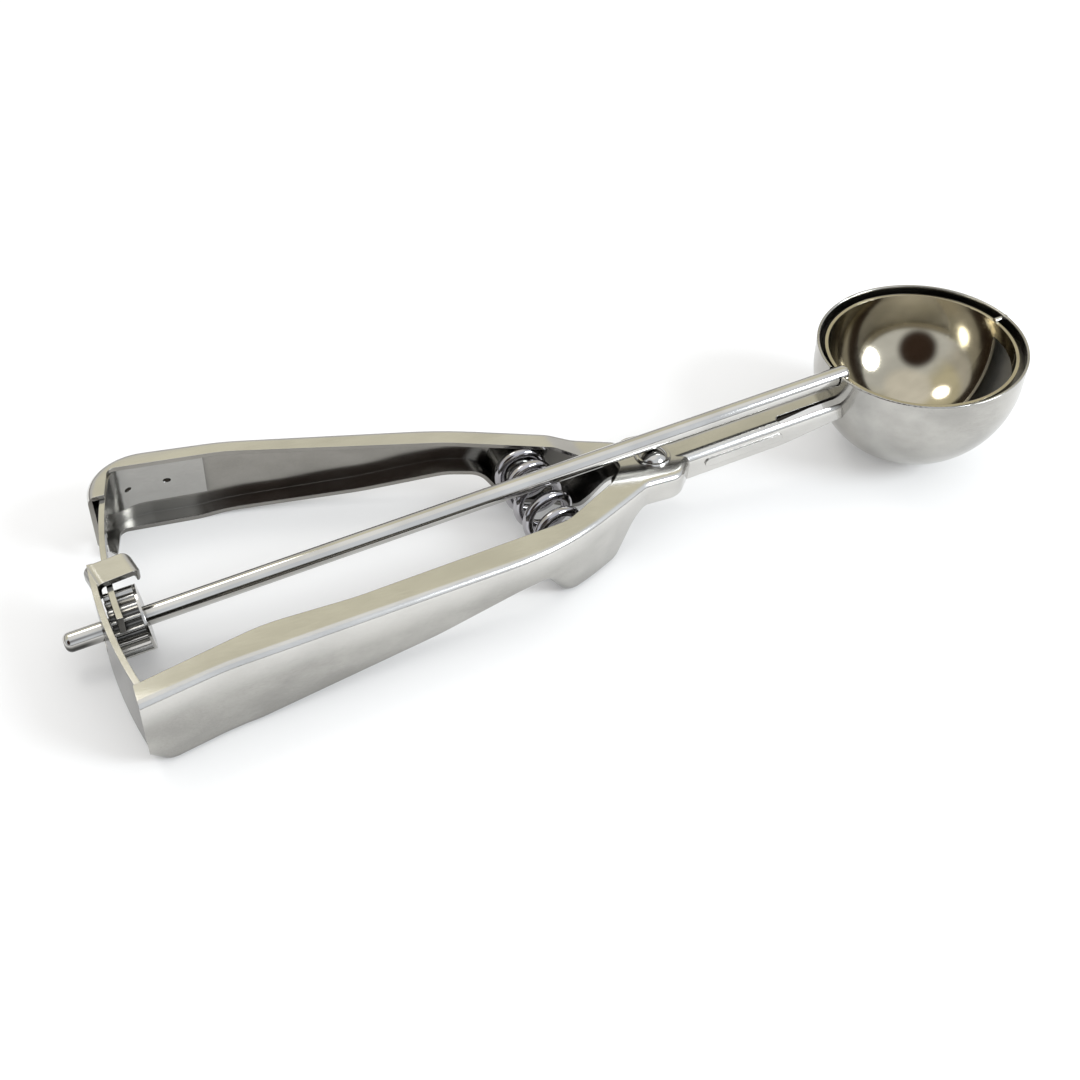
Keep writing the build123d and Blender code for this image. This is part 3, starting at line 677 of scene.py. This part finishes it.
def pinion_mesh(pinion, material):
    """Teeth set round a core, with a thin rim at their front end."""
    holder = bpy.data.objects.new("tooth", tooth_mesh(pinion))
    bpy.context.scene.collection.objects.link(holder)
    grow = Growing("pinion_teeth")
    teeth = grow.size("Teeth", pinion.teeth, "NodeSocketInt")
    width = grow.size("Width", pinion.width)
    flange = grow.size("Flange", pinion.flange)
    pitch = pinion.module * pinion.teeth / 2
    core = grow.size("Core radius", pitch - PINION_CORE * pinion.module)
    rim = grow.size("Rim radius", pitch + pinion.module)
    tooth = grow.node("GeometryNodeObjectInfo", {}, {"Object": holder})
    points = grow.node("GeometryNodePoints", {}, {"Count": teeth})
    number = Wire(grow.tree, grow.node("GeometryNodeInputIndex").outputs[0])
    turn = grow.vector(0.0, 0.0, number * (2 * math.pi) / teeth)
    ring = grow.node("GeometryNodeInstanceOnPoints", {}, {
        "Points": points.outputs[0], "Instance": tooth.outputs["Geometry"], "Rotation": turn})
    hub = disc_at(grow, core, width, width * 0.5)
    disc = disc_at(grow, rim, flange, width + flange * 0.5)
    both = grow.node("GeometryNodeJoinGeometry")
    for part in (disc, hub, ring):
        grow.tree.links.new(part.outputs[0], both.inputs[0])
    mesh = grow.plain("pinion_wheel", both.outputs[0], material)
    bpy.data.objects.remove(holder)
    return mesh


# ---- operators -----------------------------------------------------------------------------------
class SCOOP_OT_handles(bpy.types.Operator):
    """Finishes the two handle pressings in satin steel"""
    bl_idname = "scoop.handles"
    bl_label = "Handles"

    def execute(self, context):
        steel = context.scene.scoop_steel
        # Painted highlight on the handles' edges and fronts, painted shade on their inner walls and
        # in the shank's channel.
        dress("frame_handle", satin_steel(
            "frame_satin", steel, brightness=painted_highlight, burn_and_shade=shank_inside, shaded=inner_wall))
        dress("lever_handle", satin_steel(
            "lever_satin", steel, brightness=painted_highlight, shaded=inner_wall))
        return {"FINISHED"}


class SCOOP_OT_bowl(bpy.types.Operator):
    """Finishes the bowl: satin outside, paler and duller inside"""
    bl_idname = "scoop.bowl"
    bl_label = "Bowl"

    def execute(self, context):
        steel = context.scene.scoop_steel
        dress("bowl", satin_steel(
            "bowl_satin", steel, brightness=bowl_inside, roughness=1.1, recess=0.15, wave=0.3,
            matt=bowl_inside))
        return {"FINISHED"}


class SCOOP_OT_ejector(bpy.types.Operator):
    """Finishes the ejector, its rod and its pin"""
    bl_idname = "scoop.ejector"
    bl_label = "Ejector and rod"

    def execute(self, context):
        steel = context.scene.scoop_steel
        dress("ejector", polished_steel(
            "ejector_polish", steel, steel.ejector_colour, roughness=1.5, recess=0.2))
        rod = polished_steel("rod_polish", steel, recess=0.5, brightness=rod_light_side)
        dress("ejector_rod", rod)
        dress("ejector_pin", rod)
        return {"FINISHED"}


class SCOOP_OT_pivot(bpy.types.Operator):
    """Finishes the pivot rivet, its ring and the spring seats"""
    bl_idname = "scoop.pivot"
    bl_label = "Pivot and seats"

    def execute(self, context):
        steel = context.scene.scoop_steel
        polish = polished_steel("rivet_polish", steel)
        for node in ("pivot_rivet", "rivet_ring"):
            dress(node, polish)
        seat = satin_steel("seat_satin", steel, tone=0.8)
        for node in ("frame_spring_seat", "lever_spring_seat"):
            dress(node, seat)
        return {"FINISHED"}


class SCOOP_OT_rear(bpy.types.Operator):
    """Finishes the guide plate and the rack"""
    bl_idname = "scoop.rear"
    bl_label = "Guide plate and rack"

    def execute(self, context):
        steel = context.scene.scoop_steel
        # Painted highlight on the plate's upward faces, over a darker copy of the satin steel.
        dress("rear_guide_plate", satin_steel(
            "plate_satin", steel, brightness=Finish.facing_up, tone=0.42, roughness=1.2,
            recess=0.5))
        dress("rack", satin_steel(
            "rack_satin", steel, brightness=rack_light, tone=0.5, recess=0.3, burn_and_shade=weld_pits,
            dent=PIT_DEPTH))
        return {"FINISHED"}


class SCOOP_OT_spring(bpy.types.Operator):
    """Winds the return spring between its two seats"""
    bl_idname = "scoop.spring"
    bl_label = "Return spring"

    def execute(self, context):
        steel, spring = context.scene.scoop_steel, context.scene.scoop_spring
        material = polished_steel("spring_wire", steel, spring.colour, recess=0.3)
        start, finish = self.ends()
        mesh = spring_mesh(spring, (finish - start).length, material)
        place = between(start, finish) @ Matrix.Translation((0, 0, spring.wire / 2))
        coil = put("return_spring_coil", mesh, place, None, "spring_steel", "return_spring")
        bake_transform(coil)
        return {"FINISHED"}

    def ends(self):
        """Middle of the spring's two end faces."""
        low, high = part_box("return_spring")
        middle = (low.y + high.y) / 2
        sides = [[], []]
        for vertex in NODES["return_spring"].data.vertices:
            sides[vertex.co.y > middle].append(vertex.co)
        first, last = (sum(side, Vector((0, 0, 0))) / len(side) for side in sides)
        axis = (last - first).normalized()
        centre = (first + last) / 2
        reach = [co.dot(axis) - centre.dot(axis) for side in sides for co in side]
        return centre + axis * min(reach), centre + axis * max(reach)


class SCOOP_OT_pinion(bpy.types.Operator):
    """Cuts the pinion and sets it on the rod at the guide plate"""
    bl_idname = "scoop.pinion"
    bl_label = "Pinion"

    def execute(self, context):
        steel, pinion = context.scene.scoop_steel, context.scene.scoop_pinion
        # Painted shade in the gaps between the teeth.
        material = polished_steel(
            "pinion_polish", steel, roughness=2.0, recess=0, brightness=tooth_crest, dark=0.3)
        mesh = pinion_mesh(pinion, material)
        rear = min(vertex.co.dot(ROD_WAY) for vertex in NODES["pinion"].data.vertices)
        start = ROD_PLACE + ROD_WAY * (rear - ROD_PLACE.dot(ROD_WAY))
        up = Vector((0, 1, 0)).cross(ROD_WAY).normalized()
        turn = Matrix((up, ROD_WAY.cross(up), ROD_WAY)).transposed()
        place = Matrix.Translation(start) @ turn.to_4x4()
        put("pinion_wheel", mesh, place, "rotor", "polished_steel", "pinion")
        return {"FINISHED"}


class SCOOP_OT_stage(bpy.types.Operator):
    """Sets the pale floor, the soft lights and the camera"""
    bl_idname = "scoop.stage"
    bl_label = "Studio"

    def execute(self, context):
        stage = context.scene.scoop_stage
        self.floor(stage)
        self.sky(context.scene)
        self.lamp("window", stage.window_power)
        self.lamp("front_light", stage.front_power)
        self.camera(context.scene, stage)
        context.scene.view_settings.view_transform = "Standard"
        return {"FINISHED"}

    def floor(self, stage):
        mesh = bpy.data.meshes.new("floor")
        corners = ((-1, -1), (1, -1), (1, 1), (-1, 1))
        mesh.from_pydata([(x * FLOOR_HALF, y * FLOOR_HALF, 0) for x, y in corners], [],
                         [(0, 1, 2, 3)])
        piece = bpy.data.objects.new("floor", mesh)
        bpy.context.scene.collection.objects.link(piece)
        material = bpy.data.materials.new("floor_white")
        material.use_nodes = True
        tree = material.node_tree
        tree.nodes.clear()
        lit = add(tree, "ShaderNodeBsdfDiffuse", {}, {"Color": stage.floor_colour})
        glow = add(tree, "ShaderNodeEmission", {}, {"Color": WHITE, "Strength": stage.floor_glow})
        seen = add(tree, "ShaderNodeAddShader", {}, {0: lit.outputs[0], 1: glow.outputs[0]})
        path = add(tree, "ShaderNodeLightPath")
        camera = Wire(tree, path.outputs["Is Camera Ray"])
        glossy = Wire(tree, path.outputs["Is Glossy Ray"])
        shown = add(tree, "ShaderNodeMixShader", {}, {
            0: camera.most(glossy), 1: lit.outputs[0], 2: seen.outputs[0]})
        output = add(tree, "ShaderNodeOutputMaterial")
        tree.links.new(shown.outputs[0], output.inputs["Surface"])
        mesh.materials.append(material)

    def sky(self, scene):
        """Room for the steel to mirror, white for diffuse rays, pale grey for the camera."""
        world = bpy.data.worlds.new("studio")
        scene.world = world
        world.use_nodes = True
        tree = world.node_tree
        tree.nodes.clear()
        way = add(tree, "ShaderNodeTexCoord").outputs["Generated"]
        parts = add(tree, "ShaderNodeSeparateXYZ", {}, {0: way})
        height = Wire(tree, parts.outputs[2])

        def layered(colours, heights):
            shade = colours[0]
            for colour, change in zip(colours[1:], heights):
                shade = mixed(tree, height.smooth(*change), shade, colour)
            return shade

        warm, cool = layered(WARM_SIDE, WARM_HEIGHTS), layered(COOL_SIDE, COOL_HEIGHTS)
        room = mixed(tree, Wire(tree, parts.outputs[1]).smooth(*SIDE_CHANGE), cool, warm)
        room = mixed(tree, height.smooth(*OVERHEAD_HEIGHT), room, OVERHEAD)
        towards = add(tree, "ShaderNodeVectorMath", {"operation": "DOT_PRODUCT"}, {
            0: way, 1: Vector(DOORWAY_WAY).normalized()})
        doorway = Wire(tree, towards.outputs["Value"]).smooth(*DOORWAY_EDGE)
        room = mixed(tree, doorway, room, DOORWAY)
        path = add(tree, "ShaderNodeLightPath")
        colour = mixed(tree, path.outputs["Is Glossy Ray"], WHITE, room)
        colour = mixed(tree, path.outputs["Is Camera Ray"], colour, BACKDROP)
        back = add(tree, "ShaderNodeBackground", {}, {"Color": colour, "Strength": 1.0})
        output = add(tree, "ShaderNodeOutputWorld")
        tree.links.new(back.outputs[0], output.inputs["Surface"])

    def lamp(self, name, power):
        """Round lamp that points at the origin."""
        place, size, colour = LAMPS[name]
        light = bpy.data.lights.new(name, "AREA")
        light.shape = "DISK"
        light.size = size
        light.energy = power
        light.color = colour
        light.cycles.is_caustics_light = False
        lamp = bpy.data.objects.new(name, light)
        lamp.location = place
        lamp.rotation_mode = "QUATERNION"
        lamp.rotation_quaternion = (Vector((0, 0, 0)) - Vector(place)).to_track_quat("-Z", "Y")
        bpy.context.scene.collection.objects.link(lamp)

    def camera(self, scene, stage):
        camera = bpy.data.objects.new("camera", bpy.data.cameras.new("camera"))
        scene.collection.objects.link(camera)
        camera.data.lens = stage.camera_lens
        camera.data.sensor_width = 36.0
        camera.data.clip_start = 0.01
        place, aim = Vector(stage.camera_place), Vector(stage.camera_aim)
        look = (aim - place).to_track_quat("-Z", "Y").to_matrix()
        camera.matrix_world = Matrix.Translation(place) @ (
            look @ Matrix.Rotation(stage.camera_roll, 3, "Z")).to_4x4()
        scene.camera = camera


OPERATORS = (
    SCOOP_OT_handles, SCOOP_OT_bowl, SCOOP_OT_ejector, SCOOP_OT_pivot, SCOOP_OT_rear,
    SCOOP_OT_spring, SCOOP_OT_pinion, SCOOP_OT_stage,
)


class SCOOP_PT_panel(bpy.types.Panel):
    """Lists the scoop's pieces, sizes and colours"""
    bl_idname = "SCOOP_PT_panel"
    bl_label = "Lever scoop"
    bl_space_type = "VIEW_3D"
    bl_region_type = "UI"
    bl_category = "Scoop"

    def draw(self, context):
        column = self.layout.column(align=True)
        for operator in OPERATORS:
            column.operator(operator.bl_idname)
        for name, group in GROUPS.items():
            box = self.layout.box()
            for key in group.__annotations__:
                box.prop(getattr(context.scene, name), key)


def register():
    for cls in (*GROUPS.values(), *OPERATORS, SCOOP_PT_panel):
        bpy.utils.register_class(cls)
    for name, group in GROUPS.items():
        setattr(bpy.types.Scene, name, PointerProperty(type=group))


def unregister():
    for name in GROUPS:
        delattr(bpy.types.Scene, name)
    for cls in reversed((*GROUPS.values(), *OPERATORS, SCOOP_PT_panel)):
        bpy.utils.unregister_class(cls)


def main():
    register()
    for operator in OPERATORS:
        group, name = operator.bl_idname.split(".")
        getattr(getattr(bpy.ops, group), name)()


if __name__ == "__main__":
    main()
